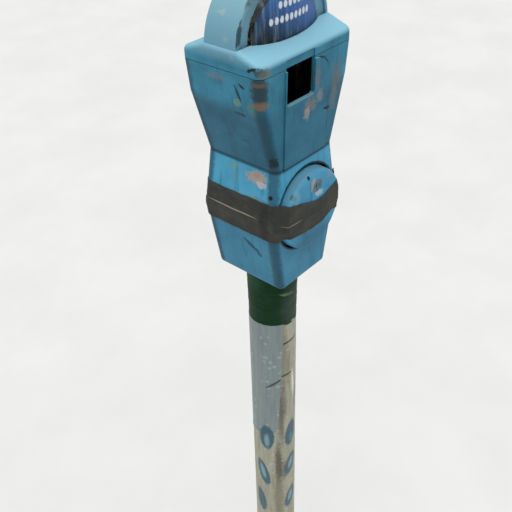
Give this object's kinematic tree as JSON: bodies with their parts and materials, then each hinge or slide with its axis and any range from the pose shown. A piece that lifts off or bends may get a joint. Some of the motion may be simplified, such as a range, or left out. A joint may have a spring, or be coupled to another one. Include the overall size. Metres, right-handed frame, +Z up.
{
  "type": "parking meter",
  "caption": "Single-space parking meter on a pipe post, with a domed lift-off cap, clockwork movement, round vault door and coin can, taped and weathered.",
  "frame": {"origin": "on the ground under the pole's axis, at the underside of the base flange", "axes": "+Z up along the pole, +X to the meter's right-hand side as seen from its front, the front with the coin opening and vault door faces -Y"},
  "size_m": [0.2, 0.2, 1.446],
  "materials": {
    "blue_enamel": "weathered gloss enamel",
    "galvanised_pole": "dull galvanised",
    "foot_iron": "rough cast",
    "fastener_steel": "zinc plated",
    "brown_cloth_tape": "satin cloth tape",
    "green_cloth_tape": "wrinkled cloth tape",
    "wrap_paper": "weathered paper",
    "clear_polycarbonate": "scratched clear",
    "printed_card": "printed card",
    "gasket_rubber": "matt",
    "movement_brass": "lacquered",
    "movement_steel": "turned",
    "can_steel": "galvanised sheet",
    "lock_brass": "tarnished",
    "dial_enamel": "matt enamel",
    "flag_red": "gloss enamel",
    "pointer_black": "matt enamel"
  },
  "bodies": {
    "post": {"base_flange": "foot_iron", "flange_set_screws": "fastener_steel", "pole": "galvanised_pole", "pole_wrap": "wrap_paper", "green_tape": "green_cloth_tape", "vault_casing": "blue_enamel", "pole_clamp": "foot_iron", "clamp_bolts": "fastener_steel", "can_cradle": "foot_iron", "tape_band": "brown_cloth_tape", "coin_chute": "can_steel", "coin_guide": "can_steel", "waist_gasket": "gasket_rubber", "waist_bolts": "fastener_steel", "mechanism_housing": "blue_enamel", "cap_gasket": "gasket_rubber", "cap_lock_shell": "lock_brass", "movement_base": "movement_steel", "front_plate": "movement_brass", "rear_plate": "movement_brass", "pillars": "movement_brass", "pillar_screws": "fastener_steel", "dial_plate": "dial_enamel"},
    "cap": {"cap": "blue_enamel", "front_bezel": "blue_enamel", "rear_bezel": "blue_enamel", "bezel_screws": "fastener_steel", "front_lens": "clear_polycarbonate", "rear_lens": "clear_polycarbonate", "notice_card": "printed_card", "cap_catch": "fastener_steel"},
    "cap_lock": {"cap_lock_rotor": "lock_brass"},
    "door": {"vault_door": "blue_enamel", "door_tape": "brown_cloth_tape", "door_lock_shell": "lock_brass"},
    "door_lock": {"door_lock_rotor": "lock_brass"},
    "bolt_left": {"door_bolt_left": "fastener_steel"},
    "bolt_right": {"door_bolt_right": "fastener_steel"},
    "can": {"coin_can": "can_steel", "coin_can_lid": "can_steel"},
    "can_handle": {"can_handle": "can_steel"},
    "barrel": {"spring_barrel": "movement_brass", "mainspring": "movement_steel"},
    "winding": {"winding_arbor": "movement_steel", "ratchet_wheel": "movement_steel"},
    "click": {"click": "movement_steel"},
    "centre": {"centre_arbor": "movement_steel", "centre_wheel": "movement_brass"},
    "third": {"third_arbor": "movement_steel", "third_wheel": "movement_brass"},
    "escape": {"escape_arbor": "movement_steel", "escape_wheel": "movement_brass"},
    "fork": {"pallet_fork": "movement_steel"},
    "balance": {"balance_wheel": "movement_brass"},
    "pointer": {"pointer_arbor": "movement_steel", "time_pointer": "pointer_black"},
    "flag": {"expired_flag": "flag_red"},
    "feeler": {"coin_feeler": "movement_steel"}
  },
  "joints": [
    {"name": "cap_lift", "type": "slide", "parent": "post", "child": "cap", "axis": [0, 0, 1], "range_m": [0, 0.2]},
    {"name": "cap_lock_turn", "type": "hinge", "parent": "post", "child": "cap_lock", "pos_m": [0, 0.05, 1.322], "axis": [0, 1, 0], "range_deg": [-90, 0]},
    {"name": "door_pull", "type": "slide", "parent": "post", "child": "door", "axis": [0, -1, 0], "range_m": [0, 0.2]},
    {"name": "door_lock_turn", "type": "hinge", "parent": "door", "child": "door_lock", "pos_m": [0.006, -0.06, 1.169], "axis": [0, 1, 0], "range_deg": [0, 90]},
    {"name": "bolt_left_slide", "type": "slide", "parent": "door", "child": "bolt_left", "axis": [-1, 0, 0], "range_m": [0, 0.0061]},
    {"name": "bolt_right_slide", "type": "slide", "parent": "door", "child": "bolt_right", "axis": [1, 0, 0], "range_m": [0, 0.0061]},
    {"name": "can_slide", "type": "slide", "parent": "post", "child": "can", "axis": [0, -1, 0], "range_m": [0, 0.121]},
    {"name": "handle_swing", "type": "hinge", "parent": "can", "child": "can_handle", "pos_m": [0, -0.05, 1.135], "axis": [1, 0, 0], "range_deg": [-85, 0]},
    {"name": "barrel_spin", "type": "hinge", "parent": "post", "child": "barrel", "pos_m": [-0.014, 0, 1.312], "axis": [0, 1, 0], "continuous": true},
    {"name": "winding_turn", "type": "hinge", "parent": "post", "child": "winding", "pos_m": [-0.014, 0, 1.312], "axis": [0, 1, 0], "range_deg": [0, 300]},
    {"name": "click_lift", "type": "hinge", "parent": "post", "child": "click", "pos_m": [0.0019, -0.017, 1.321], "axis": [0, 1, 0], "range_deg": [-12, 0], "stiffness_Nm_per_rad": 0.001},
    {"name": "centre_spin", "type": "hinge", "parent": "post", "child": "centre", "pos_m": [0.01171, 0, 1.28136], "axis": [0, 1, 0], "continuous": true},
    {"name": "third_spin", "type": "hinge", "parent": "post", "child": "third", "pos_m": [0.00685, 0, 1.25378], "axis": [0, 1, 0], "continuous": true},
    {"name": "escape_spin", "type": "hinge", "parent": "post", "child": "escape", "pos_m": [-0.0142, 0, 1.26144], "axis": [0, 1, 0], "continuous": true},
    {"name": "fork_rock", "type": "hinge", "parent": "post", "child": "fork", "pos_m": [-0.0311, 0, 1.25692], "axis": [0, 1, 0], "range_deg": [-8, 8]},
    {"name": "balance_swing", "type": "hinge", "parent": "post", "child": "balance", "pos_m": [-0.02722, 0, 1.24243], "axis": [0, 1, 0], "range_deg": [-135, 135], "stiffness_Nm_per_rad": 0.0001},
    {"name": "pointer_turn", "type": "hinge", "parent": "post", "child": "pointer", "pos_m": [0, 0, 1.362], "axis": [0, 1, 0], "range_deg": [0, 170]},
    {"name": "flag_drop", "type": "hinge", "parent": "post", "child": "flag", "pos_m": [0.038, 0.024, 1.368], "axis": [0, 1, 0], "range_deg": [-90, 0]},
    {"name": "feeler_dip", "type": "hinge", "parent": "post", "child": "feeler", "pos_m": [0.03, 0, 1.297], "axis": [0, 1, 0], "range_deg": [0, 18], "stiffness_Nm_per_rad": 0.01, "springref_deg": -5.73}
  ],
  "couplings": [
    {"joint": "bolt_left_slide", "follows": "door_lock_turn", "m_per_rad": 0.0038197},
    {"joint": "bolt_right_slide", "follows": "door_lock_turn", "m_per_rad": 0.0038197},
    {"joint": "can_slide", "follows": "door_pull", "ratio": 0.6},
    {"joint": "centre_spin", "follows": "barrel_spin", "ratio": -3},
    {"joint": "third_spin", "follows": "barrel_spin", "ratio": 7.5},
    {"joint": "escape_spin", "follows": "barrel_spin", "ratio": -18.75},
    {"joint": "fork_rock", "follows": "balance_swing", "ratio": -0.055}
  ]
}
